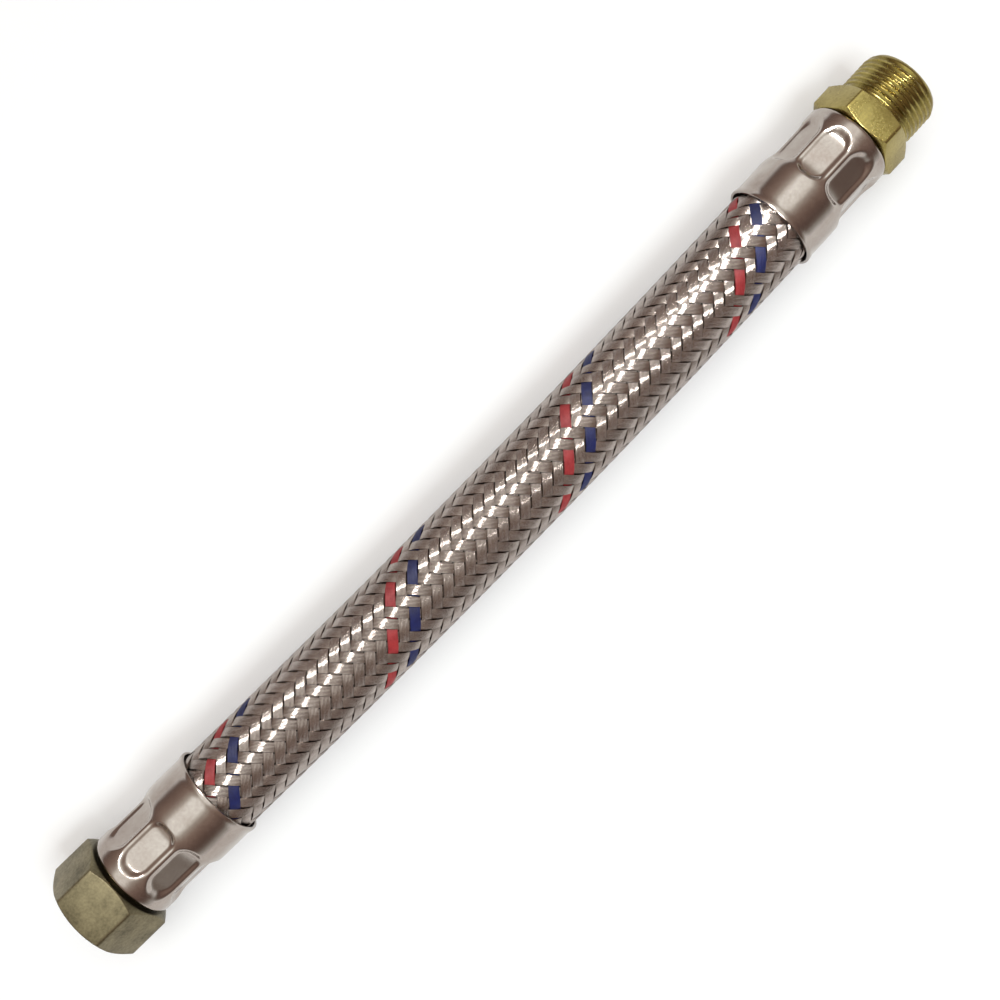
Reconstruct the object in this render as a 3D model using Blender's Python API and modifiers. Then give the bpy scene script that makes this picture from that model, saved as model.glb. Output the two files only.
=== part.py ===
"""Anti-vibration hose: a short rubber hose in a woven steel wire sleeve, with a crimped fitting at each end.

The hose lies on its side along X, with the loose nut at -X and the threaded end at +X. Lengths are in
metres. A clock angle is measured about the hose from straight up, towards -Y.
"""

import math

import bmesh
import bpy
from mathutils import Matrix, Vector

MM = 0.001
COLLECTION = "anti_vibration_hose"

# Clearances
TOUCH_GAP = 0.3 * MM  # between pieces that touch
HOLE_CLEARANCE = 0.4 * MM  # around the neck that the nut turns on
NUT_BACK_GAP = 1.0 * MM  # between the nut and the ferrule behind it
FLANGE_CLEARANCE = 0.6 * MM  # around the flange, inside the nut
TAIL_START = 1.0 * MM  # how far inside the mouth a tail's tip lies
CUT_EXTRA = 2.0 * MM  # how far a cutter runs past the piece that it cuts

# The barbed tail of each fitting, which the hose is pushed over
BARB_RADIUS = 9.0 * MM
BARB_HEIGHT = 0.5 * MM
BARBS = 4
BARB_PITCH = 7.0 * MM
BARB_STEP = 0.3 * MM
TAIL_WALL = 1.25 * MM  # between the bore and the foot of a barb
TIP_LENGTH = 3.0 * MM
TIP_WALL = 0.6 * MM
NECK_RISE = 0.3 * MM  # from the barbs up to the neck behind them
LIP_OVERLAP = 0.3 * MM  # of the ferrule's turned-in lip, behind the neck
SHOULDER_OVERLAP = 0.25 * MM  # of the shoulder that stands in front of that lip
TURNED_STEPS = 40
TAIL_ROOT_RADIUS = BARB_RADIUS - BARB_HEIGHT
TAIL_BORE_RADIUS = TAIL_ROOT_RADIUS - TAIL_WALL
NECK_RADIUS = BARB_RADIUS + NECK_RISE
FERRULE_HOLE_RADIUS = NECK_RADIUS - LIP_OVERLAP
TAIL_SHOULDER_RADIUS = FERRULE_HOLE_RADIUS + SHOULDER_OVERLAP

# The hose between its two ferrules
FREE_LENGTH = 238.7 * MM
BEND_ANGLE = math.radians(3.2)
BORE_PLAY = 0.5 * MM  # between a barb and the bore, before the hose is squeezed
TUBE_WALL = 3.1 * MM
SQUEEZED_TUBE_WALL = 1.3 * MM
HOSE_STEPS = 32
HOSE_BORE_RADIUS = BARB_RADIUS + BORE_PLAY
TUBE_RADIUS = HOSE_BORE_RADIUS + TUBE_WALL
SQUEEZED_BORE_RADIUS = BARB_RADIUS + TOUCH_GAP
SQUEEZED_TUBE_RADIUS = SQUEEZED_BORE_RADIUS + SQUEEZED_TUBE_WALL

# The woven sleeve
SLEEVE_WALL = 1.2 * MM  # from the bore out to the crown of a strand
STRAND_RELIEF = 0.7 * MM  # from a crown down to the gap between strands
SQUEEZED_SLEEVE_WALL = 0.8 * MM
SLEEVE_RADIUS = TUBE_RADIUS + TOUCH_GAP + SLEEVE_WALL
SQUEEZED_SLEEVE_RADIUS = SQUEEZED_TUBE_RADIUS + TOUCH_GAP + SQUEEZED_SLEEVE_WALL
STRANDS_EACH_WAY = HOSE_STEPS // 2
STRAND_LEAD = 73.6 * MM  # one full turn of a strand
FLOAT_PERIOD = 4  # crossings after which the weave repeats: over two, under two
WEAVE_CLOCK = math.radians(-30.0)
BLUE_AT = -105.1 * MM  # where the blue strand first crosses the top, from the middle of the hose
BLUE_STRAND = 0
RED_STRAND = STRANDS_EACH_WAY - 2
INNER_RING_SPACING = 48.0 * MM

# A ferrule, from its mouth outwards
FERRULE_LENGTH = 36.3 * MM
FERRULE_WALL = 0.9 * MM
MOUTH_PLAY = 0.2 * MM  # around the sleeve, inside the ferrule
MOUTH_FLARE = 0.4 * MM
MOUTH_LENGTH = 3.0 * MM
BULGE_LENGTH = 14.0 * MM
SHOULDER_LENGTH = 4.0 * MM
COLLAR_RISE = 0.45 * MM
COLLAR_LENGTH = 5.5 * MM
REAR_ROUNDING = 0.8 * MM
FERRULE_STEPS = 48
CRIMPS = 8
CRIMP_DEPTH = 1.25 * MM
CRIMP_START = 14.4 * MM
CRIMP_LENGTH = 18.0 * MM
CRIMP_END_ROUNDING = 3.0 * MM
NUT_END_CRIMP_CLOCK = math.radians(7.5)
MALE_END_CRIMP_CLOCK = math.radians(30.0)
BULGE_RADIUS = SLEEVE_RADIUS + MOUTH_PLAY + FERRULE_WALL
MOUTH_RADIUS = BULGE_RADIUS + MOUTH_FLARE
CRIMPED_RADIUS = SQUEEZED_SLEEVE_RADIUS + TOUCH_GAP + FERRULE_WALL + CRIMP_DEPTH
COLLAR_RADIUS = CRIMPED_RADIUS + COLLAR_RISE

# The threaded end
HEX_ACROSS_FLATS = 28.0 * MM
HEX_LENGTH = 9.5 * MM
HEX_CLOCK = math.radians(2.5)
HEX_CHAMFER_INSET = 0.3 * MM  # of the chamfer's circle inside the flats
HEX_CHAMFER_ANGLE = math.radians(30.0)
THREAD_RADIUS = 13.22 * MM
THREAD_LENGTH = 14.8 * MM
THREAD_CHAMFER = 1.3 * MM
MALE_BORE_RADIUS = 10.0 * MM
MALE_BORE_DEPTH = 12.0 * MM

# The loose nut, its flange and its washer
NUT_ACROSS_FLATS = 30.0 * MM
NUT_LENGTH = 16.0 * MM
NUT_BACK_WALL = 3.0 * MM
NUT_THREAD_GRIP = 0.92 * MM  # how far the nut's thread reaches in over one like the other end's
NUT_MOUTH_CHAMFER = 0.9 * MM
NUT_CLOCK = math.radians(2.5)
NUT_CHAMFER_INSET = 0.4 * MM
FLANGE_THICKNESS = 2.2 * MM
WASHER_THICKNESS = 2.0 * MM
WASHER_HOLE_SIZE_OVER_BORE = 0.75 * MM
NUT_BORE_RADIUS = THREAD_RADIUS - NUT_THREAD_GRIP
WASHER_HOLE_RADIUS = TAIL_BORE_RADIUS + WASHER_HOLE_SIZE_OVER_BORE

BEND_RADIUS = FREE_LENGTH / BEND_ANGLE
HALF_FREE = FREE_LENGTH / 2
UP = Vector((0.0, 0.0, 1.0))


def clear_scene():
    for old in list(bpy.data.objects):
        bpy.data.objects.remove(old, do_unlink=True)


def new_collection(name):
    collection = bpy.data.collections.new(name)
    bpy.context.scene.collection.children.link(collection)
    return collection


def finish(name, color, metallic, roughness):
    material = bpy.data.materials.new(name)
    material.use_nodes = True
    shader = material.node_tree.nodes["Principled BSDF"]
    shader.inputs["Base Color"].default_value = (*color, 1.0)
    shader.inputs["Metallic"].default_value = metallic
    shader.inputs["Roughness"].default_value = roughness
    material.diffuse_color = (*color, 1.0)
    return material


def turned(name, profile, steps, closed, home, clock=0.0):
    """A profile of (radius, height) points turned about Z; a closed one comes back to its first point."""
    mesh = bpy.data.meshes.new(name)
    points = [(radius * math.cos(clock), radius * math.sin(clock), height) for radius, height in profile]
    edges = [(i, i + 1) for i in range(len(points) - 1)]
    if closed:
        edges.append((len(points) - 1, 0))
    mesh.from_pydata(points, edges, [])
    piece = bpy.data.objects.new(name, mesh)
    home.objects.link(piece)
    screw = piece.modifiers.new("turn", "SCREW")
    screw.axis = "Z"
    screw.angle = math.tau
    screw.steps = steps
    screw.render_steps = steps
    screw.use_merge_vertices = True
    screw.merge_threshold = 0.00001
    return piece


def applied(piece):
    """Turn the piece's modifiers into a plain mesh."""
    evaluated = piece.evaluated_get(bpy.context.evaluated_depsgraph_get())
    mesh = bpy.data.meshes.new_from_object(evaluated)
    piece.modifiers.clear()
    piece.data = mesh
    return piece


def smooth(piece):
    """Round faces are shaded smooth, with an edge kept where they turn sharply."""
    piece.data.shade_smooth()
    piece.data.set_sharp_from_angle(angle=math.radians(35.0))


def cut(piece, cutter, operation):
    boolean = piece.modifiers.new(operation.lower(), "BOOLEAN")
    boolean.operation = operation
    boolean.solver = "EXACT"
    boolean.object = cutter


def centreline(along):
    """The point of the hose's centreline this far from its middle, and the direction there."""
    on_arc = max(-HALF_FREE, min(HALF_FREE, along))
    turn = on_arc / BEND_RADIUS
    direction = Vector((math.cos(turn), math.sin(turn), 0.0))
    point = Vector((BEND_RADIUS * math.sin(turn), BEND_RADIUS * (1.0 - math.cos(turn)), 0.0))
    return point + direction * (along - on_arc), direction


def frame_at(point, outwards):
    """A matrix whose Z runs outwards along the hose and whose X points up."""
    side = outwards.cross(UP)
    return Matrix.Translation(point) @ Matrix((UP, side, outwards)).transposed().to_4x4()


def lay_along_hose(mesh):
    """Bend a mesh that was made straight along Z onto the hose's centreline."""
    for vertex in mesh.vertices:
        point, direction = centreline(vertex.co.z)
        across = Vector((vertex.co.x, vertex.co.y, 0.0))
        vertex.co = frame_at(point, direction) @ across


def clock_rotation(piece, clock):
    """Turn a piece about its own axis, Z."""
    piece.rotation_euler = (0.0, 0.0, clock)


def ring_stations(first, last, spacing):
    """Evenly spaced places from first to last, both included, no further apart than the spacing."""
    count = max(1, math.ceil((last - first) / spacing))
    return [first + (last - first) * i / count for i in range(count + 1)]


# Where the hose and its sleeve are squeezed, as distances from the middle of the hose
HOSE_END = HALF_FREE + FERRULE_LENGTH - FERRULE_WALL - 3 * TOUCH_GAP
SQUEEZE_END = HALF_FREE + CRIMP_START
SQUEEZE_START = SQUEEZE_END - (SLEEVE_RADIUS - SQUEEZED_SLEEVE_RADIUS)
RELIEF_END = HALF_FREE + MOUTH_LENGTH


def wall_stations(squeezed_radius, free_radius, free_places):
    """(radius, along) stations of one side of the hose's wall, from its +X end to its -X end."""
    squeeze = [
        (squeezed_radius, HOSE_END),
        (squeezed_radius, SQUEEZE_END),
        (free_radius, SQUEEZE_START),
    ]
    free = [(free_radius, along) for along in sorted(free_places, reverse=True)]
    return squeeze + free + [(radius, -along) for radius, along in reversed(squeeze)]


def plain_places():
    """Places along the free hose for the rings of a wall that only has to follow the bend."""
    return ring_stations(-SQUEEZE_START, SQUEEZE_START, INNER_RING_SPACING)[1:-1]


def inner_tube(home, material):
    """The rubber hose itself, squeezed thin where it is crimped."""
    outside = wall_stations(SQUEEZED_TUBE_RADIUS, TUBE_RADIUS, plain_places())
    inside = wall_stations(SQUEEZED_BORE_RADIUS, HOSE_BORE_RADIUS, plain_places())
    tube = applied(turned("inner_tube", outside + inside[::-1], HOSE_STEPS, True, home))
    lay_along_hose(tube.data)
    tube.data.materials.append(material)
    smooth(tube)
    return tube


def strand_rows():
    """Where the rings of crossings lie along the hose: {row number: distance from the middle}."""
    half_pitch = STRAND_LEAD / STRANDS_EACH_WAY / 2
    origin = BLUE_AT - half_pitch / 2
    first = math.ceil((-RELIEF_END - origin) / half_pitch)
    last = math.floor((RELIEF_END - origin) / half_pitch)
    return {row: origin + row * half_pitch for row in range(first, last + 1)}


def braid_sleeve(home, steel, red, blue):
    """The woven wire sleeve, with one raised float for each place where a strand shows.

    It is a turned sleeve with a ring of points at each row of crossings. In each row every second point
    is the crown of a strand and the others are gaps. Each quad is then split along the crest that joins
    two crowns of one float, or else along the valley between two strands.
    """
    rows = strand_rows()
    mean_radius = SLEEVE_RADIUS - STRAND_RELIEF / 2
    bore = TUBE_RADIUS + TOUCH_GAP
    outside = wall_stations(SQUEEZED_SLEEVE_RADIUS, mean_radius, rows.values())
    inside = wall_stations(SQUEEZED_TUBE_RADIUS + TOUCH_GAP, bore, plain_places())
    sleeve = applied(
        turned("braid_sleeve", outside + inside[::-1], HOSE_STEPS, True, home, clock=WEAVE_CLOCK)
    )

    row_at = {round(along / MM, 2): row for row, along in rows.items()}
    step = math.tau / HOSE_STEPS

    def weave_place(vertex):
        """(row, column) of a point of the weave, or None off it."""
        radius = math.hypot(vertex.co.x, vertex.co.y)
        row = row_at.get(round(vertex.co.z / MM, 2))
        if row is None or radius < (bore + mean_radius) / 2:
            return None
        clock = math.atan2(vertex.co.y, vertex.co.x) - WEAVE_CLOCK
        return row, round(clock / step) % HOSE_STEPS

    weave = bmesh.new()
    weave.from_mesh(sleeve.data)
    places = {vertex: weave_place(vertex) for vertex in weave.verts}
    crowns = {v: p for v, p in places.items() if p and (p[0] + p[1]) % 2 == 1}
    for vertex, place in places.items():
        if place is None:
            continue
        radius = SLEEVE_RADIUS if vertex in crowns else SLEEVE_RADIUS - STRAND_RELIEF
        scale = radius / math.hypot(vertex.co.x, vertex.co.y)
        vertex.co.x *= scale
        vertex.co.y *= scale

    for face in list(weave.faces):
        if len(face.verts) != 4 or any(places[v] is None for v in face.verts):
            continue
        tops = [v for v in face.verts if v in crowns]
        gaps = [v for v in face.verts if v not in crowns]
        columns = sorted(places[v][1] % FLOAT_PERIOD for v in tops)
        rising = (places[tops[0]][0] - places[tops[1]][0]) * (
            (places[tops[0]][1] - places[tops[1]][1] + 1) % HOSE_STEPS - 1
        ) > 0
        one_float = columns == ([2, 3] if rising else [0, 1])
        bmesh.utils.face_split(face, *(tops if one_float else gaps))

    for face in weave.faces:
        tops = [crowns[v] for v in face.verts if v in crowns]
        if len(face.verts) != 3 or not tops:
            continue
        row, column = tops[0]
        strand = (row + column - 1) // 2 % STRANDS_EACH_WAY
        if column % FLOAT_PERIOD < 2 and strand in (RED_STRAND, BLUE_STRAND):
            face.material_index = 1 if strand == RED_STRAND else 2
    weave.to_mesh(sleeve.data)
    weave.free()
    lay_along_hose(sleeve.data)
    for material in (steel, red, blue):
        sleeve.data.materials.append(material)
    return sleeve


def ease(x):
    """0 up to 0, 1 from 1, and a smooth rise between."""
    x = max(0.0, min(1.0, x))
    return x * x * (3.0 - 2.0 * x)


def crimp_depth(angle, height, crimp_clock):
    """How far the crimping dies have pressed the ferrule in at this place."""
    spacing = math.tau / CRIMPS
    across = (angle - crimp_clock + spacing / 2) % spacing - spacing / 2
    from_ridge = 1.0 - abs(across) / (spacing / 2)
    from_end = min(height - CRIMP_START, CRIMP_START + CRIMP_LENGTH - height)
    return CRIMP_DEPTH * ease(1.4 * from_ridge) * ease(from_end / CRIMP_END_ROUNDING)


def ferrule(name, end, crimp_clock, home, material):
    """A stainless sleeve with a flared mouth, pressed in by eight dies, its rear turned in to the neck."""
    crimp_end = CRIMP_START + CRIMP_LENGTH
    rear = FERRULE_LENGTH
    ridge_end = rear - COLLAR_LENGTH
    shoulder_end = BULGE_LENGTH + SHOULDER_LENGTH
    stations = {
        0.0: MOUTH_RADIUS,
        MOUTH_LENGTH / 2: MOUTH_RADIUS - (MOUTH_RADIUS - BULGE_RADIUS) * 0.4,
        MOUTH_LENGTH: BULGE_RADIUS,
        BULGE_LENGTH: BULGE_RADIUS,
        CRIMP_START + CRIMP_END_ROUNDING / 2: (BULGE_RADIUS + CRIMPED_RADIUS) / 2,
        shoulder_end: CRIMPED_RADIUS,
        crimp_end - CRIMP_END_ROUNDING: CRIMPED_RADIUS,
        (crimp_end - CRIMP_END_ROUNDING + ridge_end) / 2: CRIMPED_RADIUS,
        ridge_end: (CRIMPED_RADIUS + COLLAR_RADIUS) / 2,
        crimp_end: COLLAR_RADIUS,
        rear - REAR_ROUNDING: COLLAR_RADIUS,
        rear: COLLAR_RADIUS - REAR_ROUNDING,
    }
    profile = [(radius, height) for height, radius in sorted(stations.items(), reverse=True)]
    profile.insert(0, (FERRULE_HOLE_RADIUS, rear))
    half_step = math.pi / FERRULE_STEPS
    shell = applied(turned(name, profile, FERRULE_STEPS, False, home, clock=crimp_clock + half_step))
    for vertex in shell.data.vertices:
        radius = math.hypot(vertex.co.x, vertex.co.y)
        depth = crimp_depth(math.atan2(vertex.co.y, vertex.co.x), vertex.co.z, crimp_clock)
        vertex.co.x *= (radius - depth) / radius
        vertex.co.y *= (radius - depth) / radius
    wall = shell.modifiers.new("wall", "SOLIDIFY")
    wall.thickness = FERRULE_WALL
    wall.offset = -1.0
    wall.use_even_offset = True
    shell.parent = end
    shell.data.materials.append(material)
    smooth(shell)
    return shell


def tail_profile():
    """The part of a fitting that the hose is pushed over, from the ferrule's rear face in to its tip."""
    lip_top = FERRULE_LENGTH + TOUCH_GAP
    lip_bottom = FERRULE_LENGTH - FERRULE_WALL - TOUCH_GAP
    groove_radius = FERRULE_HOLE_RADIUS - TOUCH_GAP
    shoulder_bottom = lip_bottom - TOUCH_GAP
    profile = [
        (groove_radius, lip_top),
        (groove_radius, lip_bottom),
        (TAIL_SHOULDER_RADIUS, lip_bottom),
        (TAIL_SHOULDER_RADIUS, shoulder_bottom),
        (TAIL_ROOT_RADIUS, shoulder_bottom),
    ]
    for barb in range(BARBS, 0, -1):
        edge = TAIL_START + TIP_LENGTH + (barb - 1) * BARB_PITCH
        profile += [(TAIL_ROOT_RADIUS, edge + BARB_STEP), (BARB_RADIUS, edge)]
    profile.append((TAIL_BORE_RADIUS + TIP_WALL, TAIL_START))
    return profile


def hex_bar(name, across_flats, bottom, length, end, cutters):
    """A six-sided bar along Z with a flat facing up, longer at both ends than the piece that it cuts."""
    bpy.ops.mesh.primitive_cylinder_add(
        vertices=6,
        radius=across_flats / 2 / math.cos(math.pi / 6),
        depth=length + 2 * CUT_EXTRA,
        end_fill_type="NGON",
    )
    bar = bpy.context.object
    bar.name = name
    bar.data.transform(Matrix.Translation((0.0, 0.0, bottom + length / 2)))
    for old_home in list(bar.users_collection):
        old_home.objects.unlink(bar)
    cutters.objects.link(bar)
    return cutter_of(bar, end)


def cutter_of(piece, end):
    piece.parent = end
    piece.hide_render = True
    piece.display_type = "WIRE"
    return piece


def chamfered_disc(radius, flat_radius, bottom, length):
    """Profile of a disc whose two rims are turned down to the flat radius at the hexagon's chamfer angle."""
    drop = (radius - flat_radius) * math.tan(HEX_CHAMFER_ANGLE)
    top = bottom + length
    return [
        (0.0, top),
        (flat_radius, top),
        (radius, top - drop),
        (radius, bottom + drop),
        (flat_radius, bottom),
        (0.0, bottom),
    ]


def swivel_nut(end, home, cutters, material):
    """The loose hexagon nut: an open threaded mouth and a back wall that turns behind the flange."""
    back = FERRULE_LENGTH + NUT_BACK_GAP
    front = back + NUT_LENGTH
    corner = NUT_ACROSS_FLATS / 2 / math.cos(math.pi / 6) + TOUCH_GAP
    nut = turned(
        "swivel_nut",
        chamfered_disc(corner, NUT_ACROSS_FLATS / 2 - NUT_CHAMFER_INSET, back, NUT_LENGTH),
        TURNED_STEPS,
        False,
        home,
    )
    six_flats = hex_bar("nut_flats", NUT_ACROSS_FLATS, back, NUT_LENGTH, end, cutters)
    hole = NECK_RADIUS + HOLE_CLEARANCE
    bore_profile = [
        (0.0, front + CUT_EXTRA),
        (NUT_BORE_RADIUS + NUT_MOUTH_CHAMFER + CUT_EXTRA, front + CUT_EXTRA),
        (NUT_BORE_RADIUS, front - NUT_MOUTH_CHAMFER),
        (NUT_BORE_RADIUS, back + NUT_BACK_WALL),
        (hole, back + NUT_BACK_WALL),
        (hole, back - CUT_EXTRA),
        (0.0, back - CUT_EXTRA),
    ]
    bore = cutter_of(turned("nut_bore", bore_profile, TURNED_STEPS, False, cutters), end)
    for piece in (nut, six_flats, bore):
        clock_rotation(piece, NUT_CLOCK)
    nut.parent = end
    cut(nut, six_flats, "INTERSECT")
    cut(nut, bore, "DIFFERENCE")
    nut.data.materials.append(material)
    return nut


def flange_bottom():
    return FERRULE_LENGTH + NUT_BACK_GAP + NUT_BACK_WALL + TOUCH_GAP


def nut_end_tail(end, home, cutters, material):
    """The brass tail at the nut's end, with the neck that the nut turns on and the flange that holds it."""
    bottom = flange_bottom()
    profile = [
        (0.0, bottom + FLANGE_THICKNESS),
        (NUT_BORE_RADIUS - FLANGE_CLEARANCE, bottom + FLANGE_THICKNESS),
        (NUT_BORE_RADIUS - FLANGE_CLEARANCE, bottom),
        (NECK_RADIUS, bottom),
        (NECK_RADIUS, FERRULE_LENGTH + TOUCH_GAP),
    ]
    profile += tail_profile() + [(0.0, TAIL_START)]
    tail = turned("nut_end_tail", profile, TURNED_STEPS, False, home)
    bore_profile = [
        (0.0, bottom + FLANGE_THICKNESS + CUT_EXTRA),
        (TAIL_BORE_RADIUS, bottom + FLANGE_THICKNESS + CUT_EXTRA),
        (TAIL_BORE_RADIUS, TAIL_START - CUT_EXTRA),
        (0.0, TAIL_START - CUT_EXTRA),
    ]
    bore = cutter_of(turned("tail_bore", bore_profile, TURNED_STEPS, False, cutters), end)
    tail.parent = end
    cut(tail, bore, "DIFFERENCE")
    tail.data.materials.append(material)
    return tail


def sealing_washer(end, home, material):
    """The flat washer that lies in the nut, on the tail's flange."""
    bottom = flange_bottom() + FLANGE_THICKNESS + TOUCH_GAP
    top = bottom + WASHER_THICKNESS
    radius = NUT_BORE_RADIUS - HOLE_CLEARANCE
    profile = [(radius, top), (radius, bottom), (WASHER_HOLE_RADIUS, bottom), (WASHER_HOLE_RADIUS, top)]
    washer = turned("sealing_washer", profile, TURNED_STEPS, True, home)
    washer.parent = end
    washer.data.materials.append(material)
    return washer


def male_end_fitting(end, home, cutters, material):
    """The brass fitting at the other end: barbed tail, hexagon and threaded end in one piece."""
    hex_bottom = FERRULE_LENGTH + TOUCH_GAP
    hex_top = hex_bottom + HEX_LENGTH
    tip = hex_top + THREAD_LENGTH
    corner = HEX_ACROSS_FLATS / 2 / math.cos(math.pi / 6) + TOUCH_GAP
    core = [
        (0.0, tip),
        (THREAD_RADIUS - THREAD_CHAMFER, tip),
        (THREAD_RADIUS, tip - THREAD_CHAMFER),
        (THREAD_RADIUS, hex_bottom + HEX_LENGTH / 2),
        (NECK_RADIUS, hex_bottom + HEX_LENGTH / 2),
    ]
    core += tail_profile() + [(0.0, TAIL_START)]
    fitting = turned("male_end_fitting", core, TURNED_STEPS, False, home)
    six_flats = hex_bar("hexagon_flats", HEX_ACROSS_FLATS, hex_bottom, HEX_LENGTH, end, cutters)
    hexagon = cutter_of(
        turned(
            "hexagon",
            chamfered_disc(corner, HEX_ACROSS_FLATS / 2 - HEX_CHAMFER_INSET, hex_bottom, HEX_LENGTH),
            TURNED_STEPS,
            False,
            cutters,
        ),
        end,
    )
    cut(hexagon, six_flats, "INTERSECT")
    step = MALE_BORE_RADIUS - TAIL_BORE_RADIUS
    bore_profile = [
        (0.0, tip + CUT_EXTRA),
        (MALE_BORE_RADIUS, tip + CUT_EXTRA),
        (MALE_BORE_RADIUS, tip - MALE_BORE_DEPTH),
        (TAIL_BORE_RADIUS, tip - MALE_BORE_DEPTH - step),
        (TAIL_BORE_RADIUS, TAIL_START - CUT_EXTRA),
        (0.0, TAIL_START - CUT_EXTRA),
    ]
    bore = cutter_of(turned("male_bore", bore_profile, TURNED_STEPS, False, cutters), end)
    for piece in (fitting, six_flats, hexagon, bore):
        clock_rotation(piece, HEX_CLOCK)
    fitting.parent = end
    cut(fitting, hexagon, "UNION")
    cut(fitting, bore, "DIFFERENCE")
    fitting.data.materials.append(material)
    return fitting


def stand_on_floor(root, pieces):
    """Move the whole hose so that its box is centred on the origin and stands on Z = 0."""
    bpy.context.view_layer.update()
    depsgraph = bpy.context.evaluated_depsgraph_get()
    corners = []
    for piece in pieces:
        evaluated = piece.evaluated_get(depsgraph)
        mesh = evaluated.to_mesh()
        corners += [evaluated.matrix_world @ vertex.co for vertex in mesh.vertices]
        evaluated.to_mesh_clear()
    low = Vector(min(corner[axis] for corner in corners) for axis in range(3))
    high = Vector(max(corner[axis] for corner in corners) for axis in range(3))
    root.location = (-(low.x + high.x) / 2, -(low.y + high.y) / 2, -low.z)
    bpy.context.view_layer.update()


def end_empty(name, along, outwards_sign, root, home):
    """The place of one fitting: the middle of its ferrule's mouth, with Z running outwards."""
    point, direction = centreline(along)
    end = bpy.data.objects.new(name, None)
    home.objects.link(end)
    end.parent = root
    end.matrix_local = frame_at(point, direction * outwards_sign)
    return end


def main():
    clear_scene()
    home = new_collection(COLLECTION)
    cutters = new_collection("cutters")
    steel_wire = finish("braid_steel", (0.58, 0.53, 0.48), 0.9, 0.35)
    red_wire = finish("tracer_red", (0.62, 0.06, 0.06), 0.0, 0.5)
    blue_wire = finish("tracer_blue", (0.02, 0.04, 0.28), 0.0, 0.5)
    rubber = finish("tube_rubber", (0.02, 0.02, 0.02), 0.0, 0.8)
    stainless = finish("ferrule_stainless", (0.62, 0.58, 0.54), 1.0, 0.25)
    nut_brass = finish("nut_brass", (0.45, 0.42, 0.27), 1.0, 0.4)
    tail_brass = finish("tail_brass", (0.60, 0.52, 0.26), 1.0, 0.35)
    male_brass = finish("male_brass", (0.72, 0.66, 0.30), 1.0, 0.28)
    washer_rubber = finish("washer_rubber", (0.05, 0.05, 0.05), 0.0, 0.7)

    root = bpy.data.objects.new("hose_root", None)
    home.objects.link(root)
    nut_end = end_empty("nut_end_place", -HALF_FREE, -1.0, root, home)
    male_end = end_empty("male_end_place", HALF_FREE, 1.0, root, home)

    tube = inner_tube(home, rubber)
    sleeve = braid_sleeve(home, steel_wire, red_wire, blue_wire)
    tube.parent = root
    sleeve.parent = root
    pieces = [
        tube,
        sleeve,
        ferrule("nut_end_ferrule", nut_end, NUT_END_CRIMP_CLOCK, home, stainless),
        ferrule("male_end_ferrule", male_end, MALE_END_CRIMP_CLOCK, home, stainless),
        nut_end_tail(nut_end, home, cutters, tail_brass),
        swivel_nut(nut_end, home, cutters, nut_brass),
        sealing_washer(nut_end, home, washer_rubber),
        male_end_fitting(male_end, home, cutters, male_brass),
    ]
    stand_on_floor(root, pieces)


main()
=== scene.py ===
"""An anti-vibration hose on a pale floor: rubber hose in a woven steel sleeve, with a fitting at each end."""

import math

import bpy
import numpy as np
from mathutils import Matrix, Vector


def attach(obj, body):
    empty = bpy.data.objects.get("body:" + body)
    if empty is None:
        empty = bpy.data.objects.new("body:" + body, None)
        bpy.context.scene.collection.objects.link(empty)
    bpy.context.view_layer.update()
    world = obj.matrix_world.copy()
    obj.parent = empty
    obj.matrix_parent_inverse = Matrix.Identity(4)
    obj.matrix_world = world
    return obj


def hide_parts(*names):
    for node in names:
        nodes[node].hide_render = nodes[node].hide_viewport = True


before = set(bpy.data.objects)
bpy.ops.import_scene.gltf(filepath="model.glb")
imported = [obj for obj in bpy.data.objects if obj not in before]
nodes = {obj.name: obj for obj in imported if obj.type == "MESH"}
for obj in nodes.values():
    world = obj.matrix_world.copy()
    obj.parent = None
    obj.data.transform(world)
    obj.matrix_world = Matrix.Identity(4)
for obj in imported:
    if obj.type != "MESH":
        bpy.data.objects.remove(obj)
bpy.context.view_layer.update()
scene = bpy.context.scene
MM = 0.001

# The camera looks almost straight down, turned so that the hose runs from lower left to upper right.

camera_data = bpy.data.cameras.new("camera")
camera_data.lens = 45.77
camera_data.sensor_width = 36.0
camera_data.clip_start = 0.02
camera_data.clip_end = 60.0
camera = bpy.data.objects.new("camera", camera_data)
scene.collection.objects.link(camera)
camera_lean = Vector((0.0215, -0.0308, -0.0116))
camera.matrix_world = (
    Matrix.Translation((-0.0137, -0.0088, 0.4016))
    @ Matrix.Rotation(camera_lean.length, 4, camera_lean)
    @ Matrix.Rotation(math.radians(-45.0), 4, "Z")
)
scene.camera = camera

# The hose's line. Between its two ferrules the hose bows gently towards -Y; inside them it is straight.

FREE_LENGTH = 238.7 * MM
BEND_RADIUS = FREE_LENGTH / math.radians(3.2)
HALF_FREE = FREE_LENGTH / 2
HALF_BEND = HALF_FREE / BEND_RADIUS
FERRULE_LENGTH = 36.3 * MM
HOSE_END = HALF_FREE + FERRULE_LENGTH - 1.8 * MM
HOSE_MIDDLE = Vector((-3.761, -2.931, 15.567)) * MM
UP = Vector((0.0, 0.0, 1.0))


def hose_line(along):
    """The point of the hose's line this far from its middle, and the direction there."""
    on_arc = max(-HALF_FREE, min(HALF_FREE, along))
    turn = on_arc / BEND_RADIUS
    direction = Vector((math.cos(turn), math.sin(turn), 0.0))
    arc_point = Vector((BEND_RADIUS * math.sin(turn), BEND_RADIUS * (1.0 - math.cos(turn)), 0.0))
    return HOSE_MIDDLE + arc_point + direction * (along - on_arc), direction


def fitting_place(sign):
    """The middle of one ferrule's mouth, with X up and Z running outwards along the fitting."""
    point, direction = hose_line(sign * HALF_FREE)
    outwards = direction * sign
    return Matrix.Translation(point) @ Matrix((UP, outwards.cross(UP), outwards)).transposed().to_4x4()


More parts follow.
